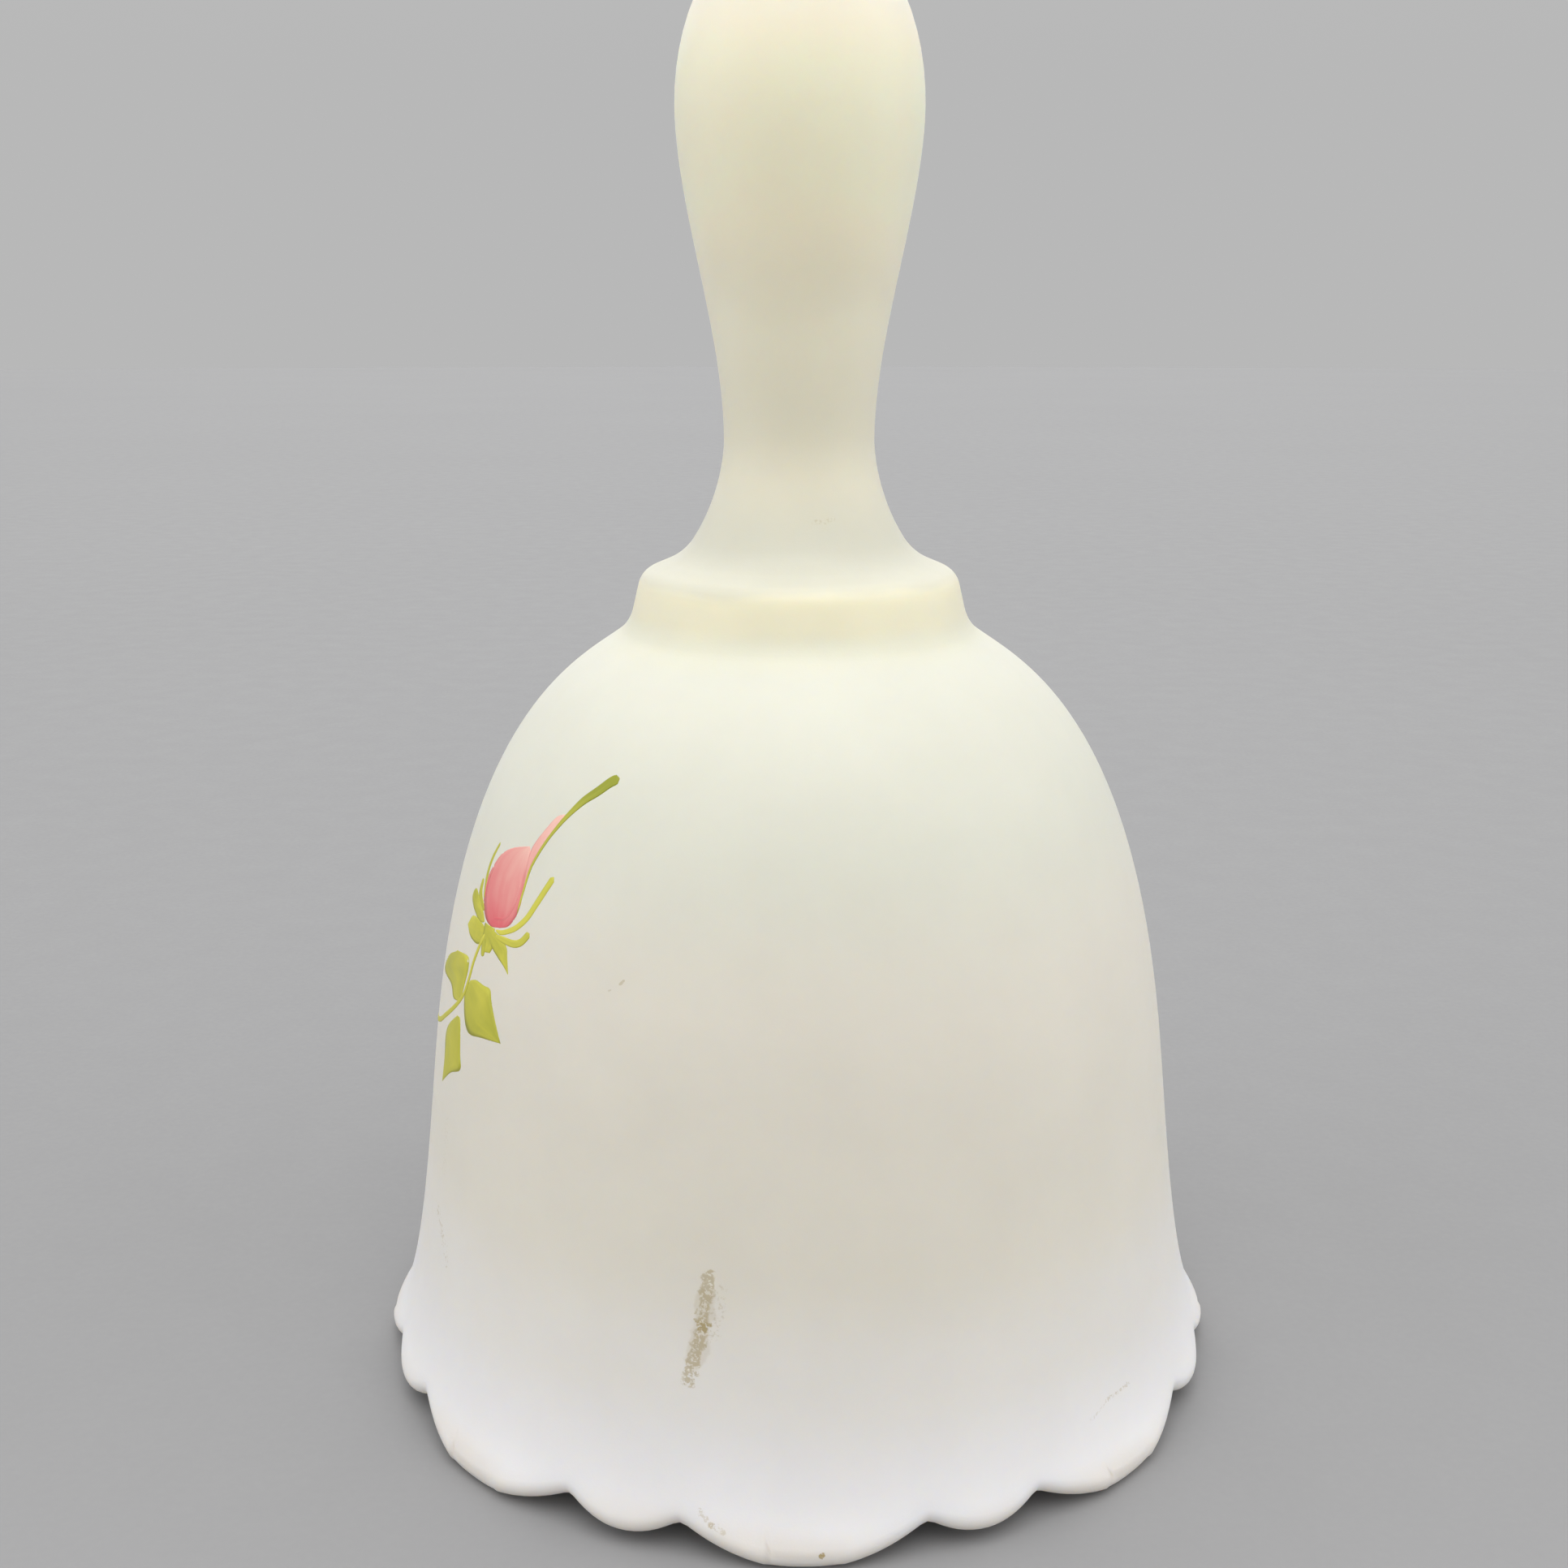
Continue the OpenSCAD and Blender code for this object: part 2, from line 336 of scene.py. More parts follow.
def glass_rings(outline):
    """Rings from the end of the handle, down the outside, round the lip and up the hollow."""
    azimuth = np.arange(AZIMUTHS) * 2 * math.pi / AZIMUTHS
    rim = outline.rim_z(azimuth)
    plain = np.ones(AZIMUTHS)
    lip, outer_z, inner_z = lip_rings(outline, rim)
    rings = [np.outer(plain, point) for point in outline.above[1:]]
    skirt_top, inner_top = outline.mm["skirt_z"], outline.inner_skirt[-1, 1]
    scallop_z = SCALLOP_Z * plain
    rings += wall_rings(outline.outer_r, skirt_top * plain, scallop_z, SKIRT_RINGS)
    rings += wall_rings(outline.outer_r, scallop_z, outer_z, SCALLOP_RINGS)
    rings += lip
    rings += wall_rings(outline.inner_r, inner_z, scallop_z, SCALLOP_RINGS)
    rings += wall_rings(outline.inner_r, scallop_z, inner_top * plain, SCALLOP_RINGS)
    rings += [np.outer(plain, point) for point in outline.inner_crown[1:-1]]
    return azimuth, rings


def revolved_mesh(name, azimuth, rings, top_z, crown_z):
    """Closed mesh through the rings, with one point at each end."""
    count = len(azimuth)
    grid = np.array(rings)
    x = grid[:, :, 0] * np.sin(azimuth)
    y = -grid[:, :, 0] * np.cos(azimuth)
    points = np.stack([x, y, grid[:, :, 1]], 2).reshape(-1, 3)
    points = np.vstack([points, (0, 0, top_z), (0, 0, crown_z)]) * MM
    top, crown = len(points) - 2, len(points) - 1
    after = [(j + 1) % count for j in range(count)]
    faces = [(top, j, after[j]) for j in range(count)]
    for i in range(len(rings) - 1):
        a, b = i * count, (i + 1) * count
        faces += [(a + j, b + j, b + after[j], a + after[j]) for j in range(count)]
    last = (len(rings) - 1) * count
    faces += [(last + j, crown, last + after[j]) for j in range(count)]
    mesh = bpy.data.meshes.new(name)
    mesh.from_pydata(points.tolist(), [], faces)
    mesh.polygons.foreach_set("use_smooth", [True] * len(faces))
    mesh.update()
    return mesh


def place(name, mesh, material, body, slot):
    """Links a finished piece into the scene on its body. The slot is not used."""
    piece = bpy.data.objects.new(name, mesh)
    bpy.context.scene.collection.objects.link(piece)
    mesh.materials.clear()
    mesh.materials.append(material)
    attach(piece, body)
    return piece


def let_light_by(piece):
    """Enamel is thin enough for light to reach the glass through it."""
    piece.visible_shadow = False
    piece.visible_diffuse = False


# ---------------------------------------------------------------- brush strokes


def flowing(points, steps):
    """A smooth curve through the given points."""
    p = np.array(points, float)
    p = np.vstack([2 * p[0] - p[1], p, 2 * p[-1] - p[-2]])
    where = np.linspace(0, len(p) - 3, steps)
    i = np.minimum(where.astype(int), len(p) - 4)
    t = (where - i)[:, None]
    a, b, c, d = p[i], p[i + 1], p[i + 2], p[i + 3]
    bend = (2 * a - 5 * b + 4 * c - d) * t**2 + (3 * b - a - 3 * c + d) * t**3
    return b + 0.5 * ((c - a) * t + bend)


class Paint:
    """Strokes of enamel that lie on the glass, each a thin closed skin.

    A stroke's points are (azimuth in degrees from the front, height in millimetres).
    """

    ALONG, ACROSS = 32, 9
    UNDER = 0.05  # how far a stroke's underside sits in the glass
    LAYER = 0.02  # how much each coat lies over the one below
    FINE = 0.1  # share of a line's width that is left at its very end

    def __init__(self, outline, body, seed):
        self.outline, self.body = outline, body
        self.random = random.Random(seed)
        self.points, self.faces, self.brush, self.tone = [], [], [], []
        self.border = []

    def on_glass(self, azimuth, z, lift):
        """Points that far off the glass."""
        radius = self.outline.outer_r(z)
        lean = slope(self.outline.outer_r, z)
        turn = np.radians(azimuth)
        out = radius + lift * np.cos(lean)
        return np.stack([out * np.sin(turn), -out * np.cos(turn), z + lift * np.sin(lean)], -1)

    def patch(self, left, right, tones=(0.5, 0.5, 0.5, 0.5), coat=0):
        """Fills the space between two edges that run the same way.

        The tones are those at the left and right of its start, then of its end.
        """
        n, m = self.ALONG, self.ACROSS
        a, b = flowing(left, n)[:, None], flowing(right, n)[:, None]
        t, s = np.meshgrid(np.linspace(0, 1, n), np.linspace(0, 1, m), indexing="ij")
        azimuth, z = np.moveaxis(a * (1 - s[..., None]) + b * s[..., None], -1, 0)
        rise = (1 - (2 * s - 1) ** 4) * (1 - (2 * t - 1) ** 8)
        lift = coat * self.LAYER + self.body * rise
        first = len(self.points)
        self.points += self.on_glass(azimuth, z, lift).reshape(-1, 3).tolist()
        self.points += self.on_glass(azimuth, z, -self.UNDER).reshape(-1, 3).tolist()
        start = tones[0] * (1 - s) + tones[1] * s
        end = tones[2] * (1 - s) + tones[3] * s
        self.tone += (start * (1 - t) + end * t).ravel().tolist() * 2
        seed = self.random.uniform(0, 50)
        self.brush += np.stack([t, s, 0 * t + seed], 2).reshape(-1, 3).tolist() * 2
        self.skin(first, n, m)

    def skin(self, first, n, m):
        """Faces of the top, the underside and the border between them."""
        under = first + n * m
        for i in range(n - 1):
            for j in range(m - 1):
                quad = (i * m + j, (i + 1) * m + j, (i + 1) * m + j + 1, i * m + j + 1)
                self.faces.append([first + k for k in quad])
                self.faces.append([under + k for k in reversed(quad)])
        loop = [i * m for i in range(n)]
        loop += [(n - 1) * m + j for j in range(1, m)]
        loop += [i * m + m - 1 for i in range(n - 2, -1, -1)]
        loop += list(range(m - 2, 0, -1))
        for a, b in zip(loop, loop[1:] + loop[:1]):
            self.border.append(len(self.faces))
            self.faces.append([first + b, first + a, under + a, under + b])

    def line(self, points, widths, tones=(0.5, 0.5), coat=0, ends=(0, 1)):
        """A stroke along a centre line. Its ends are round where ends says 1, and fine at 0."""
        n = self.ALONG
        middle = flowing(points, n)
        width = np.interp(np.linspace(0, 1, n), np.linspace(0, 1, len(widths)), widths)
        radius = self.outline.outer_r(middle[:, 1])
        lean = slope(self.outline.outer_r, middle[:, 1])
        u = np.gradient(np.radians(middle[:, 0])) * radius
        v = np.gradient(middle[:, 1]) / np.cos(lean)
        size = np.hypot(u, v)
        run = np.cumsum(size) - size[0]
        for gone, is_round in ((run, ends[0]), (run[-1] - run, ends[1])):
            reach = np.clip(gone / (width / 2 if is_round else 1.0), 0, 1)
            width = width * (self.FINE + (1 - self.FINE) * np.sqrt(reach * (2 - reach)))
        side = np.stack([np.degrees(-v / size / radius), u / size * np.cos(lean)], 1)
        edge = side * width[:, None] / 2
        corners = (tones[0], tones[0], tones[1], tones[1])
        self.patch(middle + edge, middle - edge, corners, coat)

    def mesh(self, name):
        """All strokes as one mesh, which carries what the enamel needs to know of them."""
        mesh = bpy.data.meshes.new(name)
        mesh.from_pydata((np.array(self.points) * MM).tolist(), [], self.faces)
        brush = mesh.attributes.new("brush", "FLOAT_VECTOR", "POINT")
        brush.data.foreach_set("vector", np.array(self.brush, np.float32).ravel())
        tone = mesh.attributes.new("tone", "FLOAT", "POINT")
        tone.data.foreach_set("value", np.array(self.tone, np.float32))
        smooth = np.ones(len(self.faces), bool)
        smooth[self.border] = False
        mesh.polygons.foreach_set("use_smooth", smooth)
        clean(mesh, MERGE)
        return mesh


MERGE = 1e-7  # metres


def clean(mesh, merge):
    """Joins points that coincide and turns every face outwards."""
    shape = bmesh.new()
    shape.from_mesh(mesh)
    bmesh.ops.remove_doubles(shape, verts=shape.verts, dist=merge)
    bmesh.ops.recalc_face_normals(shape, faces=shape.faces)
    shape.to_mesh(mesh)
    shape.free()
    mesh.update()


def paint_bud(pink, green):
    """The long rosebud at the left of the front, with its sepals, stem and leaves."""
    left_edge = [(-54.2, 57.8), (-56.7, 57.5), (-59, 57.9), (-60.7, 58.9), (-61.8, 60.2)]
    left_edge += [(-61.9, 61.8), (-61, 63.2), (-59.2, 64.7), (-56, 65.8), (-51.3, 66.6)]
    right_edge = [(-54, 57.8), (-51.6, 58.4), (-50.1, 59.6), (-49.5, 61.1), (-49.8, 62.5)]
    right_edge += [(-50.1, 63.6), (-50, 64.9), (-50.4, 66), (-51.2, 66.6)]
    pink.patch(left_edge, right_edge, (-0.1, 0.02, 0.66, 0.88))
    pink.patch(
        [(-50.6, 65.6), (-50.3, 66.8), (-48.6, 68.5), (-46.7, 70), (-44.9, 70.5)],
        [(-49.8, 62.4), (-49.4, 64.5), (-48.6, 66.2), (-46.8, 68.2), (-44.6, 70.4)],
        (0.6, 0.4, 1.0, 1.0),
        coat=1,
    )
    pink.line([(-61.1, 59.8), (-61.5, 61.5), (-60.5, 63.1)], [0.25, 0.35, 0.2], (0.0, 0.4), 1)
    fold = [(-56.5, 58.4), (-53, 59), (-51.1, 60.8), (-50.9, 62.8)]
    pink.line(fold, [0.3, 0.4, 0.3], (0.0, 0.5), 1)
    tip = [(-49.9, 60), (-49.6, 62.4), (-49.2, 64.8), (-47.4, 67.4), (-45.1, 69.6)]
    tip += [(-43.1, 71.1), (-41.3, 72.2), (-39, 73.2), (-36.9, 74.2), (-35.2, 74.7)]
    green.line(tip, [0.25, 0.3, 0.35, 0.4, 0.6, 0.85, 1.05, 1.15, 1.2], (0.73, -0.1), 2)
    green.line([(-61.3, 59.6), (-62.4, 61.9), (-62.2, 63.8), (-61, 65.6)], [0.5, 0.6, 0.55, 0.4])
    green.line([(-60.3, 58.5), (-63.2, 59.8), (-63.6, 61.4)], [0.6, 1.0, 0.6])
    green.line([(-59.3, 57.5), (-63, 58.4), (-66.5, 59.5)], [0.7, 1.5, 1.7, 1.6], (0.67, 0.47), 1)
    green.patch(
        [(-58.8, 57.1), (-61.5, 57.4), (-64.3, 57.2), (-65.9, 56)],
        [(-58.2, 55.6), (-60.4, 54.9), (-63.7, 55.1), (-65.9, 55.9)],
        (0.53, 0.53, 0.8, 0.8),
    )
    green.patch(
        [(-58.9, 57.5), (-58.7, 55.9), (-58.4, 54.5)],
        [(-55.3, 57.5), (-54.7, 55.9), (-55.4, 54.9)],
        (0.47, 0.53, 0.73, 0.67),
        coat=1,
    )
    green.patch(
        [(-57.2, 57.4), (-53.9, 57.1), (-51.1, 56.4), (-50.3, 55.4), (-49.4, 53.9)],
        [(-57, 56.2), (-54.5, 55.4), (-52.7, 54.9), (-50.9, 54.4), (-49.4, 53.8)],
        (0.47, 0.53, 0.73, 0.73),
        coat=2,
    )
    green.line([(-57.5, 56.1), (-57.7, 55.1), (-57.7, 54.1)], [0.9, 0.9, 0.7], coat=2)
    long_sepal = [(-55, 57.4), (-53, 57.5), (-49.7, 58.5), (-47.3, 59.9), (-45.7, 61.6)]
    long_sepal += [(-44.4, 63.1), (-43.1, 64.6)]
    green.line(long_sepal, [0.4, 0.6, 0.75, 0.8, 0.8], (1, 0.67))
    short_sepal = [(-54.5, 56.9), (-52, 56.9), (-49.2, 57), (-47.4, 57.5), (-45.9, 58.6)]
    green.line(short_sepal, [0.5, 0.7, 0.8, 0.8, 0.8], (0.87, 0.6), coat=3)
    stem = [(-58.1, 56.5), (-59.5, 54.5), (-60.4, 52.9), (-61.1, 51), (-62.3, 49)]
    stem += [(-65.1, 47.1), (-70, 44.8), (-76.5, 42.4), (-86.5, 40.6)]
    stem += [(-96.5, 41.6), (-104.5, 44.1)]
    green.line(stem, [0.5, 0.5, 0.5, 0.6, 0.65, 0.6], (0.8, 0.67), coat=2)
    green.patch(
        [(-63.4, 47.9), (-67.1, 47.4), (-69.9, 48.4), (-78.1, 48.1), (-74.9, 50.4), (-69.3, 52.2)],
        [(-63.4, 47.9), (-62.4, 50.4), (-62, 52.1), (-63.2, 53), (-68.9, 52.4)],
        (0.73, 0.6, 0.4, 0.67),
    )
    big_left = [(-60.6, 50.9), (-62, 49), (-61.2, 47.1), (-59.8, 45.8), (-57.9, 45.5)]
    big_left += [(-54.4, 46), (-49, 46.6)]
    big_right = [(-60.6, 50.9), (-58.4, 51.4), (-55.7, 51.4), (-53.6, 51.4), (-52.8, 50.4)]
    big_right += [(-51.4, 48.9), (-49, 46.6)]
    green.patch(big_left, big_right, (0.6, 0.73, 0.53, 0.47))
    green.patch(
        [(-64, 46.2), (-67.9, 44.2), (-69.3, 42.6), (-68.8, 40.1), (-69.2, 37.1)],
        [(-63.9, 46.2), (-62.4, 45.9), (-61.1, 42.6), (-60.6, 40.9), (-64.8, 39.4), (-69.2, 37.1)],
        (0.67, 0.53, 0.73, 0.53),
    )


class Spray:
    """Places strokes on the glass by millimetres from a point of it."""

    LEAF_BOWS = (0.3, -0.26)
    INNER_BOW = 0.12
    POINTS = 9
    POINTED, FULL = 0.8, 0.42  # how a stroke widens from its ends

    def __init__(self, outline, azimuth, z):
        self.azimuth, self.z = azimuth, z
        self.radius = float(outline.outer_r(z))

    def at(self, points):
        """Turns (across, up) in millimetres into (azimuth, height)."""
        p = np.array(points, float)
        return np.stack([self.azimuth + np.degrees(p[:, 0] / self.radius), self.z + p[:, 1]], 1)

    def petal(self, paint, start, end, bows, tones, coat=0, widening=POINTED):
        """A comma stroke from start to end, its two edges bowed by shares of its length."""
        a, b = np.array(start, float), np.array(end, float)
        t = np.linspace(0, 1, self.POINTS)[:, None]
        out = np.array([(a - b)[1], (b - a)[0]]) * np.sin(t * math.pi) ** widening
        straight = a + (b - a) * t
        left, right = (self.at(straight + out * bow) for bow in bows)
        paint.patch(left, right, tones, coat)

    def ring(self, paint, count, inner, outer, spread, turn, tones, coat):
        """Petals round a heart, each from one angle to the next."""
        for i in range(count):
            a = turn + 2 * math.pi * i / count
            b = a + 2 * math.pi / count * spread
            start = (inner * math.cos(a), inner * math.sin(a))
            end = (inner * math.cos(b), inner * math.sin(b))
            reach = 2 * inner * math.sin((b - a) / 2)
            bulge = (outer - inner * math.cos((b - a) / 2)) / reach
            bows = (self.INNER_BOW, -bulge)
            self.petal(paint, start, end, bows, tones, coat + i % 3, self.FULL)

    def leaf(self, paint, start, degrees, reach, tones, coat=0):
        """A leaf from its stalk's end, in a direction turned from level."""
        turn = math.radians(degrees)
        end = (start[0] + reach * math.cos(turn), start[1] + reach * math.sin(turn))
        self.petal(paint, start, end, self.LEAF_BOWS, tones, coat)


def paint_rose(pink, green):
    """The open rose and the small bud round the far side of the bell."""
    rose = Spray(pink.outline, -118, 50)
    rose.leaf(green, (5.5, 4.5), 35, 9, (0.67, 0.47, 0.8, 0.6))
    rose.leaf(green, (6.5, -3), -28, 8.5, (0.6, 0.53, 0.47, 0.73))
    rose.leaf(green, (1, -7), -78, 9, (0.73, 0.53, 0.53, 0.67))
    rose.leaf(green, (-5.5, -5), -140, 9.5, (0.53, 0.67, 0.73, 0.47))
    rose.leaf(green, (-6, 4.5), 150, 8.5, (0.67, 0.53, 0.53, 0.73))
    rose.ring(pink, 5, 4.6, 7.9, 1.3, 0.35, (0.3, 0.95, 0.5, 1.0), 1)
    rose.ring(pink, 5, 3.2, 5.6, 1.35, 0.95, (0.1, 0.75, 0.3, 0.85), 4)
    rose.ring(pink, 3, 1.6, 3.5, 1.3, 0.3, (0.0, 0.55, 0.1, 0.65), 7)
    rose.petal(pink, (-1.2, -1.1), (1.2, 1.2), (0.5, -0.45), (-0.1, 0.15, -0.1, 0.2), 10, 0.5)
    stalk = rose.at([(-5.5, -0.2), (-9, 1.6), (-13, 4), (-19, 8), (-24.5, 9.5)])
    green.line(stalk, [0.5, 0.45, 0.4], (0.53, 0.73))
    bud = Spray(pink.outline, -151.5, 60)
    bud.petal(pink, (1.8, -0.3), (-3.4, 5.4), (0.42, -0.38), (0.05, 0.15, 0.7, 0.9))
    bud.petal(pink, (-1.2, 2.0), (-4.6, 8.2), (0.2, -0.12), (0.4, 0.3, 1.0, 0.9), 1)
    sepals = (((1.6, -0.6), 158, 5.5), ((1.9, -0.1), 92, 6), ((2.0, -0.6), 12, 3.6))
    for start, way, reach in sepals:
        turn = math.radians(way)
        end = (start[0] + reach * math.cos(turn), start[1] + reach * math.sin(turn))
        middle = ((start[0] + end[0]) / 2 + 0.4, (start[1] + end[1]) / 2 + 0.3)
        green.line(bud.at([start, middle, end]), [0.3, 0.6, 0.5], (0.53, 0.8), 2)
    bud.leaf(green, (3.4, -2.2), -70, 6.5, (0.6, 0.53, 0.47, 0.73))
    bud.leaf(green, (6.4, -1.6), 55, 5.5, (0.67, 0.47, 0.73, 0.6))


# ---------------------------------------------------------------- nodes


class Tree:
    """A node tree that is wired up by value: each method returns an output socket."""

    def __init__(self, tree):
        self.tree = tree

    def add(self, kind, inputs=(), **settings):
        node = self.tree.nodes.new(kind)
        for key, value in settings.items():
            setattr(node, key, value)
        for key, value in dict(inputs).items():
            self.feed(node.inputs[key], value)
        return node

    def feed(self, socket, value):
        if isinstance(value, bpy.types.NodeSocket):
            self.tree.links.new(value, socket)
        elif value is not None:
            socket.default_value = value

    def math(self, operation, a, b=None, clamp=False):
        inputs = {0: a, 1: b}
        return self.add("ShaderNodeMath", inputs, operation=operation, use_clamp=clamp).outputs[0]

    def vector(self, operation, a, b=None, output="Vector"):
        return self.add("ShaderNodeVectorMath", {0: a, 1: b}, operation=operation).outputs[output]

    def mix(self, factor, a, b, blend="MIX"):
        inputs = {0: factor, 6: a, 7: b}
        return self.add("ShaderNodeMix", inputs, data_type="RGBA", blend_type=blend).outputs[2]

    def noise(self, vector, scale, detail=2.0, roughness=0.5):
        inputs = {"Vector": vector, "Scale": scale, "Detail": detail, "Roughness": roughness}
        return self.add("ShaderNodeTexNoise", inputs).outputs[0]

    def remap(self, value, low, high, to_low=0.0, to_high=1.0, kind="LINEAR"):
        inputs = {0: value, 1: low, 2: high, 3: to_low, 4: to_high}
        return self.add("ShaderNodeMapRange", inputs, interpolation_type=kind).outputs[0]

    def ramp(self, value, stops):
        node = self.add("ShaderNodeValToRGB", {0: value})
        ramp = node.color_ramp
        ramp.interpolation = "EASE"
        while len(ramp.elements) < len(stops):
            ramp.elements.new(0.5)
        for element, (place, rgb) in zip(ramp.elements, stops):
            element.position = place
            element.color = (*rgb, 1.0)
        return node.outputs[0]

    def bump(self, height, strength, distance):
        inputs = {"Height": height, "Strength": strength, "Distance": distance}
        return self.add("ShaderNodeBump", inputs).outputs[0]

    def here(self):
        """The point of the surface, in metres from the middle of the resting plane."""
        return self.add("ShaderNodeTexCoord").outputs["Object"]

    def grain(self, point, scale, low=0.4, high=0.6):
        """Outputs of the fine grain, whose value lies between the two limits."""
        given = {"Point": point, "Scale": scale, "Low": low, "High": high}
        return self.place(fine_grain(), given).outputs

    def place(self, group, inputs):
        """Places a node group."""
        node = self.add("ShaderNodeGroup", node_tree=group)
        for key, value in inputs.items():
            self.feed(node.inputs[key], value)
        return node


def new_group(name, inputs, outputs):
    """An empty node group. Returns its tree and its input and output nodes."""
    group = bpy.data.node_groups.new(name, "ShaderNodeTree")
    for label, (kind, value) in inputs.items():
        socket = group.interface.new_socket(label, in_out="INPUT", socket_type=kind)
        if value is not None:
            socket.default_value = value
    for label, kind in outputs.items():
        group.interface.new_socket(label, in_out="OUTPUT", socket_type=kind)
    tree = Tree(group)
    return tree, tree.add("NodeGroupInput").outputs, tree.add("NodeGroupOutput").inputs


FLOAT, VECTOR, COLOUR = "NodeSocketFloat", "NodeSocketVector", "NodeSocketColor"


def fine_grain():
    """Fine grain in two sizes, as a value between two limits and as a height."""
    name = "fine_grain"
    if name in bpy.data.node_groups:
        return bpy.data.node_groups[name]
    inputs = {
        "Point": (VECTOR, None),
        "Scale": (FLOAT, 3000.0),
        "Low": (FLOAT, 0.4),
        "High": (FLOAT, 0.6),
    }
    tree, given, made = new_group(name, inputs, {"Value": FLOAT, "Height": FLOAT})
    coarse = tree.noise(given["Point"], tree.math("MULTIPLY", given["Scale"], 0.12), 3.0)
    fine = tree.noise(given["Point"], given["Scale"], 2.0, 0.6)
    both = tree.math("ADD", tree.math("MULTIPLY", coarse, 0.45), tree.math("MULTIPLY", fine, 0.55))
    value = tree.remap(both, 0.35, 0.65, given["Low"], given["High"])
    tree.feed(made["Value"], value)
    tree.feed(made["Height"], both)
    return tree.tree


def scuff():
    """Mask of a broken-up mark along a line between two points."""
    name = "scuff"
    if name in bpy.data.node_groups:
        return bpy.data.node_groups[name]
    inputs = {
        "Point": (VECTOR, None),
        "From": (VECTOR, None),
        "To": (VECTOR, None),
        "Width": (FLOAT, 0.002),
        "Grain": (FLOAT, 1500.0),
        "Cover": (FLOAT, 0.5),
    }
    tree, given, made = new_group(name, inputs, {"Mask": FLOAT})
    line = tree.vector("SUBTRACT", given["To"], given["From"])
    reach = tree.vector("SUBTRACT", given["Point"], given["From"])
    along = tree.vector("DOT_PRODUCT", reach, line, "Value")
    length_2 = tree.vector("DOT_PRODUCT", line, line, "Value")
    share = tree.math("DIVIDE", along, length_2, clamp=True)
    scaled = {0: line, "Scale": share}
    nearest = tree.add("ShaderNodeVectorMath", scaled, operation="SCALE").outputs[0]
    away = tree.vector("LENGTH", tree.vector("SUBTRACT", reach, nearest), None, "Value")
    ragged = tree.remap(tree.noise(given["Point"], given["Grain"], 2.0), 0.3, 0.7, 0.55, 1.45)
    edge = tree.math("DIVIDE", tree.math("MULTIPLY", away, ragged), given["Width"])
    inside = tree.remap(edge, 0.35, 0.6, 1.0, 0.0, "SMOOTHSTEP")
    speckle = tree.noise(given["Point"], tree.math("MULTIPLY", given["Grain"], 1.7), 3.0, 0.7)
    limit = tree.math("SUBTRACT", 0.72, tree.math("MULTIPLY", given["Cover"], 0.4))
    flecks = tree.remap(speckle, limit, tree.math("ADD", limit, 0.1), 0.0, 1.0, "SMOOTHSTEP")
    tree.feed(made["Mask"], tree.math("MULTIPLY", inside, flecks))
    return tree.tree


def brush_streaks():
    """Colour of a stroke of enamel: streaked along, and darker where it pooled at its edges."""
    name = "brush_streaks"
    if name in bpy.data.node_groups:
        return bpy.data.node_groups[name]
    inputs = {
        "Brush": (VECTOR, None),
        "Tone": (FLOAT, 0.5),
        "Deep": (COLOUR, None),
        "Light": (COLOUR, None),
        "Streaks": (FLOAT, 6.0),
        "Pooling": (FLOAT, 0.12),
        "Contrast": (FLOAT, 0.5),
    }
    outputs = {"Colour": COLOUR, "Roughness": FLOAT, "Height": FLOAT}
    tree, given, made = new_group(name, inputs, outputs)
    parts = tree.add("ShaderNodeSeparateXYZ", {0: given["Brush"]}).outputs
    across = tree.math("MULTIPLY", parts[1], given["Streaks"])
    along = tree.math("MULTIPLY", parts[0], 1.3)
    streak_at = tree.add("ShaderNodeCombineXYZ", {0: along, 1: across, 2: parts[2]}).outputs[0]
    streaks = tree.noise(streak_at, 1.0, 3.0, 0.6)
    clouds = tree.noise(tree.vector("MULTIPLY", given["Brush"], (3.0, 2.0, 1.0)), 1.0, 2.0)
    swing = tree.math("MULTIPLY", tree.math("SUBTRACT", streaks, 0.5), given["Contrast"])
    drift = tree.math("MULTIPLY", tree.math("SUBTRACT", clouds, 0.5), given["Contrast"])
    tone = tree.math("ADD", tree.math("ADD", given["Tone"], swing), drift)
    from_middle = tree.math("ABSOLUTE", tree.math("SUBTRACT", parts[1], 0.5))
    pooled = tree.remap(from_middle, 0.36, 0.5, 0.0, given["Pooling"], "SMOOTHSTEP")
    thin = tree.math("SUBTRACT", tone, pooled, clamp=True)
    tree.feed(made["Colour"], tree.mix(thin, given["Deep"], given["Light"]))
    tree.feed(made["Roughness"], tree.remap(streaks, 0.3, 0.7, 0.34, 0.5))
    tree.feed(made["Height"], streaks)
    return tree.tree


# ---------------------------------------------------------------- materials


def new_material(name):
    """An empty material with a Principled shader. Returns the material, its tree and the shader."""
    material = bpy.data.materials.new(name)
    material.use_nodes = True
    tree = Tree(material.node_tree)
    tree.tree.nodes.clear()
    shader = tree.add("ShaderNodeBsdfPrincipled")
    output = tree.add("ShaderNodeOutputMaterial")
    tree.tree.links.new(shader.outputs[0], output.inputs[0])
    return material, tree, shader.inputs


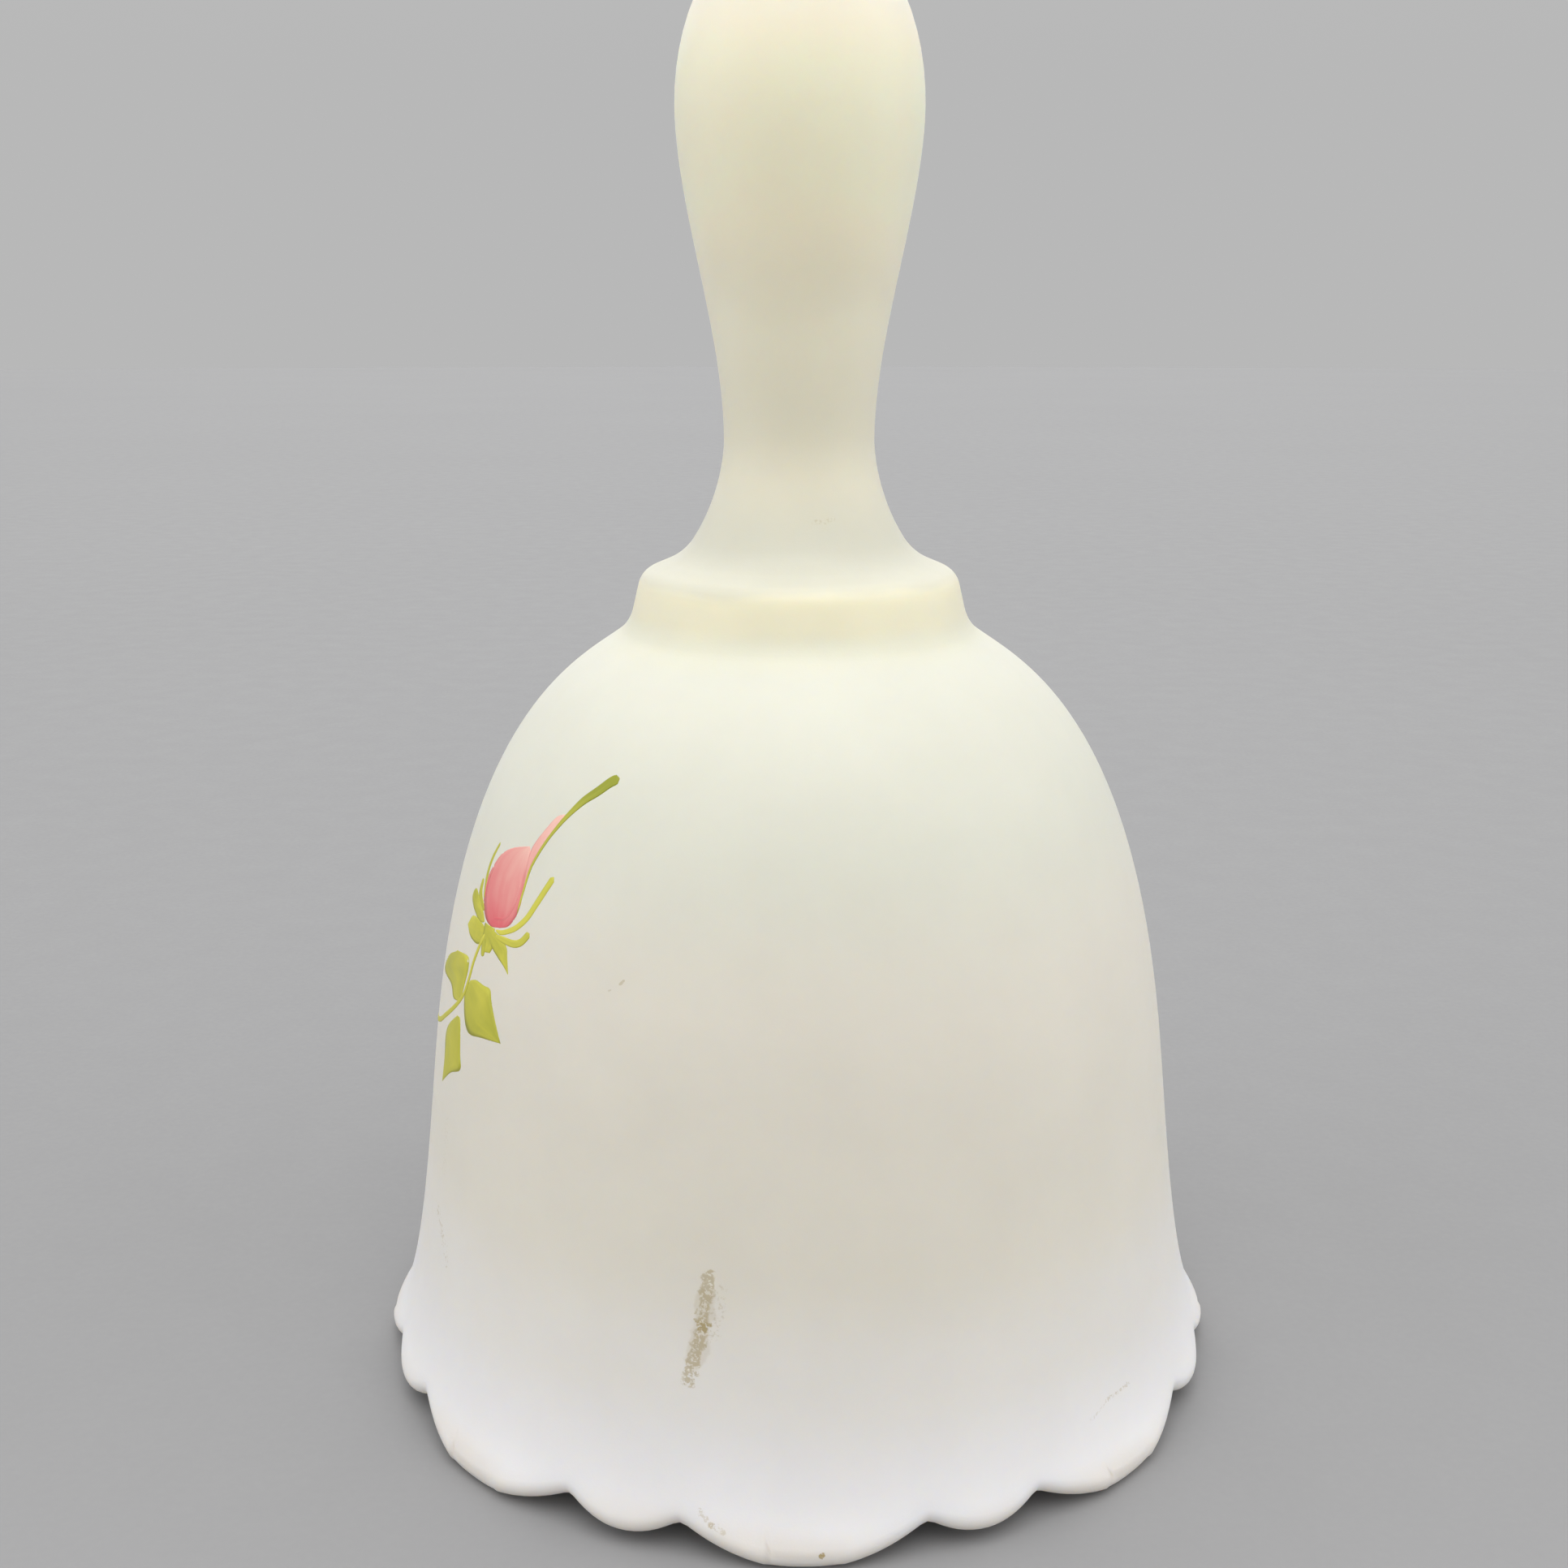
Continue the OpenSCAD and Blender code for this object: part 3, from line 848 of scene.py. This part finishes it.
# Marks on the glass: from and to (azimuth, height), width, grain per metre, cover, strength
DIRT_MARKS = (
    ((-12.5, 28.5), (-13.0, 23.2), 1.25, 1500, 0.80, 0.48),
    ((-13.0, 23.2), (-14.6, 17.8), 1.4, 1500, 0.76, 0.48),
    ((-12.7, 26.5), (-13.8, 19.8), 1.9, 500, 1.30, 0.16),
    ((-10.4, 27.6), (-11.4, 22.6), 1.0, 1500, 0.50, 0.22),
    ((-12.4, 5.3), (-11.0, 4.1), 0.55, 1800, 0.75, 0.28),
    ((-11.0, 4.1), (-9.4, 3.6), 0.55, 1800, 0.75, 0.28),
    ((1.8, 1.9), (2.0, 2.0), 0.5, 2500, 0.95, 0.80),
    ((43.3, 8.9), (48.7, 9.0), 0.4, 2200, 0.60, 0.35),
    ((39.6, 7.9), (43.6, 8.8), 0.3, 2200, 0.60, 0.20),
    ((-65.7, 22.9), (-60.5, 18.8), 1.3, 1600, 0.50, 0.35),
    ((-65.0, 34.0), (-64.6, 28.0), 1.1, 1700, 0.42, 0.20),
    ((-27.2, 56.1), (-26.6, 56.5), 0.25, 2400, 0.95, 0.35),
    ((-28.9, 55.3), (-28.6, 55.4), 0.22, 2400, 0.95, 0.25),
    ((7.0, 98.6), (20.0, 98.9), 0.5, 2300, 0.55, 0.25),
    ((-20.0, 152.0), (-12.0, 128.0), 24.0, 50, 1.80, 0.05),
    ((128.0, 36.0), (133.0, 27.0), 1.8, 1700, 0.45, 0.40),
    ((-170.0, 21.0), (-163.0, 16.0), 1.5, 1900, 0.45, 0.40),
)


def satin_glass(outline, colours):
    """Milky glass with an acid-etched face, tinted by height, with rubbed-in marks."""
    material, tree, shader = new_material("satin_glass")
    here = tree.here()
    top = outline.mm["height"]
    neutral = [0.5 * (a + b) for a, b in zip(colours.rim, colours.skirt)]
    height = tree.add("ShaderNodeSeparateXYZ", {0: here}).outputs[2]
    clouds = tree.noise(here, 22.0, 3.0, 0.55)
    drift = tree.math("MULTIPLY", tree.math("SUBTRACT", clouds, 0.5), 0.05)
    share = tree.math("ADD", tree.math("DIVIDE", height, top * MM), drift)
    # Tints of the glass by height; the lip, crease, ledge and handle stops also hold painted light
    # and shade.
    tints_and_painted_light = (
        # Painted light: the lip stops carry the warm tint of light shining through the thin edge.
        (0.0, colours.lip),
        (1.5, colours.lip),
        (5, colours.rim),
        (7, colours.rim),
        (18, neutral),
        (30, colours.skirt),
        (52, colours.skirt),
        (70, colours.shoulder),
        (83.8, colours.shoulder),
        # Painted light: the crease stop is lighter to fill the shade in the crease under the
        # collar.
        (86.6, colours.crease),
        (88.6, colours.collar),
        (91.1, colours.collar),
        # Painted shade: the ledge stops are darker to stand in for shade on the ledge.
        (92.6, colours.ledge),
        (96, colours.ledge),
        (104, colours.waist),
        (109, colours.waist),
        (120, colours.grip),
        # Painted light: the handle stops are lighter to stand in for the light the handle catches.
        (134, colours.handle),
        (144, colours.handle),
        (158, colours.knob),
    )
    colour = tree.ramp(share, [(z / top, tint) for z, tint in tints_and_painted_light])
    mottle = tree.remap(tree.noise(here, 90.0, 4.0, 0.6), 0.3, 0.7, 0.965, 1.0)
    white = tree.add("ShaderNodeCombineXYZ", {0: mottle, 1: mottle, 2: mottle}).outputs[0]
    colour = tree.mix(1.0, colour, white, "MULTIPLY")
    grain = tree.grain(here, 4200.0, 0.46, 0.6)
    roughness = grain["Value"]
    dirt = (*colours.dirt, 1.0)
    for start, end, width, size, cover, strength in DIRT_MARKS:
        ends = [outline_point(outline, *p) for p in (start, end)]
        given = {"Point": here, "From": ends[0], "To": ends[1], "Width": width * MM}
        given.update({"Grain": size, "Cover": cover})
        mask = tree.place(scuff(), given).outputs[0]
        amount = tree.math("MULTIPLY", mask, strength)
        colour = tree.mix(amount, colour, dirt)
        roughness = tree.math("ADD", roughness, tree.math("MULTIPLY", amount, 0.2), clamp=True)
    tree.feed(shader["Base Color"], colour)
    tree.feed(shader["Roughness"], roughness)
    tree.feed(shader["Normal"], tree.bump(grain["Height"], 0.35, 0.00004))
    tree.feed(shader["IOR"], 1.5)
    tree.feed(shader["Subsurface Weight"], 1.0)
    tree.feed(shader["Subsurface Radius"], (1.0, 0.85, 0.62))
    tree.feed(shader["Subsurface Scale"], 0.004)
    return material


def outline_point(outline, azimuth, z):
    """The point of the outer face at that azimuth in degrees and height, in metres."""
    radius, turn = float(outline.outer_r(z)), math.radians(azimuth)
    return tuple(MM * x for x in (radius * math.sin(turn), -radius * math.cos(turn), z))


def enamel(name, deep, light, streaks):
    """Brushed enamel, streaked from a deep to a light tone."""
    if name in bpy.data.materials:
        return bpy.data.materials[name]
    material, tree, shader = new_material(name)
    brush = tree.add("ShaderNodeAttribute", attribute_name="brush").outputs["Vector"]
    tone = tree.add("ShaderNodeAttribute", attribute_name="tone").outputs["Fac"]
    given = {"Brush": brush, "Tone": tone, "Deep": (*deep, 1.0), "Light": (*light, 1.0)}
    painted = tree.place(brush_streaks(), {**given, "Streaks": streaks}).outputs
    grain = tree.grain(tree.here(), 5000.0)
    height = tree.math("ADD", painted["Height"], tree.math("MULTIPLY", grain["Height"], 0.4))
    tree.feed(shader["Base Color"], painted["Colour"])
    tree.feed(shader["Roughness"], painted["Roughness"])
    tree.feed(shader["Normal"], tree.bump(height, 0.5, 0.00003))
    tree.feed(shader["IOR"], 1.5)
    return material


def nickel_wire(colours):
    """Plated wire, dulled in patches, with fine drawing marks."""
    material, tree, shader = new_material("nickel_wire")
    here = tree.here()
    patches = tree.noise(here, 420.0, 4.0, 0.65)
    tarnished = tree.remap(patches, 0.48, 0.68, 0.0, 0.85, "SMOOTHSTEP")
    grain = tree.grain(here, 9000.0, 0.2, 0.38)
    marks = tree.noise(tree.vector("MULTIPLY", here, (1.0, 1.0, 0.08)), 16000.0, 2.0)
    height = tree.math("ADD", grain["Height"], marks)
    colour = tree.mix(tarnished, (*colours.wire, 1.0), (*colours.tarnish, 1.0))
    tree.feed(shader["Base Color"], colour)
    dulled = tree.math("MULTIPLY", tarnished, 0.25)
    tree.feed(shader["Roughness"], tree.math("ADD", grain["Value"], dulled))
    tree.feed(shader["Metallic"], 1.0)
    tree.feed(shader["Normal"], tree.bump(height, 0.4, 0.00002))
    return material


def clear_glass():
    """Clear glass of the bead, with faint ripples and a few dull rubbed spots."""
    material, tree, shader = new_material("clear_glass")
    here = tree.here()
    ripples = tree.noise(here, 260.0, 2.0, 0.5)
    rubbed = tree.remap(tree.noise(here, 900.0, 4.0, 0.6), 0.56, 0.7, 0.0, 1.0, "SMOOTHSTEP")
    tint = tree.mix(ripples, (0.90, 0.96, 0.95, 1.0), (0.97, 0.99, 0.98, 1.0))
    grain = tree.grain(here, 6000.0, 0.02, 0.07)
    tree.feed(shader["Base Color"], tint)
    dulled = tree.math("MULTIPLY", rubbed, 0.25)
    tree.feed(shader["Roughness"], tree.math("ADD", grain["Value"], dulled))
    tree.feed(shader["Normal"], tree.bump(ripples, 0.3, 0.0002))
    tree.feed(shader["IOR"], 1.5)
    tree.feed(shader["Transmission Weight"], 1.0)
    return material


def pale_floor(rgb):
    """Matt floor with faint clouds and grain."""
    material, tree, shader = new_material("pale_floor")
    here = tree.here()
    clouds = tree.remap(tree.noise(here, 3.0, 3.0), 0.3, 0.7, 0.99, 1.01)
    tint = tree.add("ShaderNodeCombineXYZ", {0: clouds, 1: clouds, 2: clouds}).outputs[0]
    grain = tree.grain(here, 900.0, 0.62, 0.78)
    tree.feed(shader["Base Color"], tree.mix(1.0, (*rgb, 1.0), tint, "MULTIPLY"))
    tree.feed(shader["Roughness"], grain["Value"])
    return material


# ---------------------------------------------------------------- operators


class HANDBELL_OT_glass(bpy.types.Operator):
    """Build the satin glass of the bell"""

    bl_idname = "handbell.glass"
    bl_label = "Glass"

    def execute(self, context):
        outline = Outline(context.scene.handbell_sizes)
        azimuth, rings = glass_rings(outline)
        crown_z = outline.mm["crown_z"]
        mesh = revolved_mesh("satin_bell", azimuth, rings, outline.mm["height"], crown_z)
        material = satin_glass(outline, context.scene.handbell_colours)
        bell = place("satin_bell", mesh, material, "bell", "satin_glass")
        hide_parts("glass_bell")
        return {"FINISHED"}


def paint_spray(context, painter, names, seed):
    """Builds one spray: its pinks and its greens are a piece each."""
    outline = Outline(context.scene.handbell_sizes)
    colours = context.scene.handbell_colours
    body = colours.paint_body / MM
    pink, green = Paint(outline, body, seed), Paint(outline, body, seed + 1)
    painter(pink, green)
    pink_enamel = enamel("pink_enamel", colours.pink_deep, colours.pink_light, 5.0)
    green_enamel = enamel("green_enamel", colours.green_deep, colours.green_light, 4.0)
    let_light_by(place(names[0], pink.mesh(names[0]), pink_enamel, "bell", "enamel_pink"))
    let_light_by(place(names[1], green.mesh(names[1]), green_enamel, "bell", "enamel_green"))


class HANDBELL_OT_rosebud(bpy.types.Operator):
    """Paint the long rosebud with its sepals, stem and leaves"""

    bl_idname = "handbell.rosebud"
    bl_label = "Rosebud"

    def execute(self, context):
        paint_spray(context, paint_bud, ("rosebud_petals", "rosebud_greens"), 11)
        return {"FINISHED"}


class HANDBELL_OT_rose(bpy.types.Operator):
    """Paint the open rose and the small bud on the far side"""

    bl_idname = "handbell.rose"
    bl_label = "Rose"

    def execute(self, context):
        paint_spray(context, paint_rose, ("rose_petals", "rose_greens"), 23)
        return {"FINISHED"}


def finish_nodes(names, material):
    """Gives CAD nodes their material."""
    for name in names:
        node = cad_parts[name]
        node.data.materials.clear()
        node.data.materials.append(material)


class HANDBELL_OT_wire(bpy.types.Operator):
    """Finish the staple, the hanger ring, the chain and the pin"""

    bl_idname = "handbell.wire"
    bl_label = "Wire"

    def execute(self, context):
        names = [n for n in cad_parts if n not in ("glass_bell", "clapper_bead")]
        finish_nodes(names, nickel_wire(context.scene.handbell_colours))
        return {"FINISHED"}


class HANDBELL_OT_bead(bpy.types.Operator):
    """Finish the clear glass bead of the clapper"""

    bl_idname = "handbell.bead"
    bl_label = "Bead"

    def execute(self, context):
        finish_nodes(["clapper_bead"], clear_glass())
        return {"FINISHED"}


WHITE = (1.0, 1.0, 1.0)


def add_light(name, strength, azimuth, elevation, softness, rgb):
    """A far soft light, from an azimuth to the right of the front and an elevation, in degrees."""
    data = bpy.data.lights.new(name, "SUN")
    data.energy = strength
    data.angle = math.radians(softness)
    data.color = rgb
    light = bpy.data.objects.new(name, data)
    bpy.context.scene.collection.objects.link(light)
    light.rotation_euler = (math.radians(90 - elevation), 0, math.radians(azimuth))


FLOOR_R = 6.0  # metres
FRAME_W = 36  # width of the camera's frame in millimetres
AIR_LEVELS = ((0.0, 0.48), (0.12, 0.48), (0.45, 0.62), (1.0, 1.05))  # sine of the height, level
# Lights: name, strength, azimuth, elevation, softness in degrees
LIGHTS = (
    ("key", 1.1, 4, 74, 50),
    ("front", 0.2, 0, 25, 60),
    ("left", 0.72, -75, 20, 60),
    ("right", 0.75, 75, 20, 60),
    ("back", 0.45, 180, 30, 60),
)


def floor_disc(radius, steps=96):
    """A round floor in rings of quads."""
    mesh = bpy.data.meshes.new("floor")
    rings = [radius * share for share in (0.05, 0.2, 0.5, 1.0)]
    turns = [2 * math.pi * i / steps for i in range(steps)]
    points = [(0.0, 0.0, 0.0)]
    points += [(r * math.cos(a), r * math.sin(a), 0.0) for r in rings for a in turns]
    faces = [(0, 1 + i, 1 + (i + 1) % steps) for i in range(steps)]
    for k in range(len(rings) - 1):
        a, b = 1 + k * steps, 1 + (k + 1) * steps
        faces += [(a + i, b + i, b + (i + 1) % steps, a + (i + 1) % steps) for i in range(steps)]
    mesh.from_pydata(points, [], faces)
    mesh.update()
    return mesh


def soft_air(stage):
    """Light from all round, pale at the horizon and bright overhead."""
    world = bpy.data.worlds.new("soft_air")
    world.use_nodes = True
    tree = Tree(world.node_tree)
    tree.tree.nodes.clear()
    way = tree.add("ShaderNodeTexCoord").outputs["Generated"]
    up = tree.add("ShaderNodeSeparateXYZ", {0: way}).outputs[2]
    level = tree.ramp(up, [(height, (v, v, v)) for height, v in AIR_LEVELS])
    colour = tree.mix(1.0, level, (*stage.air, 1.0), "MULTIPLY")
    background = tree.add("ShaderNodeBackground", {"Color": colour, "Strength": 1.0})
    output = tree.add("ShaderNodeOutputWorld")
    tree.tree.links.new(background.outputs[0], output.inputs[0])
    return world


class HANDBELL_OT_stage(bpy.types.Operator):
    """Set up the camera, the floor and the light"""

    bl_idname = "handbell.stage"
    bl_label = "Stage"

    def execute(self, context):
        scene, stage = context.scene, context.scene.handbell_stage
        camera = bpy.data.objects.new("camera", bpy.data.cameras.new("camera"))
        scene.collection.objects.link(camera)
        camera.data.lens = stage.lens
        camera.data.sensor_width = FRAME_W
        camera.data.clip_start = 0.01
        across, away = math.sin(stage.azimuth), -math.cos(stage.azimuth)
        camera.location = (stage.distance * across, stage.distance * away, stage.height)
        camera.rotation_euler = (math.radians(90) - stage.pitch, 0, stage.azimuth + stage.turn)
        scene.camera = camera
        floor = bpy.data.objects.new("floor", floor_disc(FLOOR_R))
        scene.collection.objects.link(floor)
        floor.data.materials.append(pale_floor(stage.floor))
        for light in LIGHTS:
            add_light(*light, stage.key if light[0] == "key" else WHITE)
        scene.world = soft_air(stage)
        scene.view_settings.view_transform = "Standard"
        return {"FINISHED"}


STEPS = (
    HANDBELL_OT_glass,
    HANDBELL_OT_rosebud,
    HANDBELL_OT_rose,
    HANDBELL_OT_wire,
    HANDBELL_OT_bead,
    HANDBELL_OT_stage,
)
SETTINGS = {
    "handbell_sizes": BellSizes,
    "handbell_colours": BellColours,
    "handbell_stage": StageSettings,
}


class HANDBELL_PT_panel(bpy.types.Panel):
    """Lists what builds the bell, with its sizes and colours"""

    bl_idname = "HANDBELL_PT_panel"
    bl_label = "Satin glass bell"
    bl_space_type = "VIEW_3D"
    bl_region_type = "UI"
    bl_category = "Bell"

    def draw(self, context):
        for step in STEPS:
            self.layout.operator(step.bl_idname)
        for name, group in SETTINGS.items():
            box = self.layout.box()
            settings = getattr(context.scene, name)
            for key in group.__annotations__:
                box.prop(settings, key)


def register():
    for cls in (*SETTINGS.values(), *STEPS, HANDBELL_PT_panel):
        bpy.utils.register_class(cls)
    for name, group in SETTINGS.items():
        setattr(bpy.types.Scene, name, bpy.props.PointerProperty(type=group))


def unregister():
    for name in SETTINGS:
        delattr(bpy.types.Scene, name)
    for cls in (HANDBELL_PT_panel, *reversed(STEPS), *SETTINGS.values()):
        bpy.utils.unregister_class(cls)


def main():
    register()
    bpy.ops.handbell.glass()
    bpy.ops.handbell.rosebud()
    bpy.ops.handbell.rose()
    bpy.ops.handbell.wire()
    bpy.ops.handbell.bead()
    bpy.ops.handbell.stage()


if __name__ == "__main__":
    main()
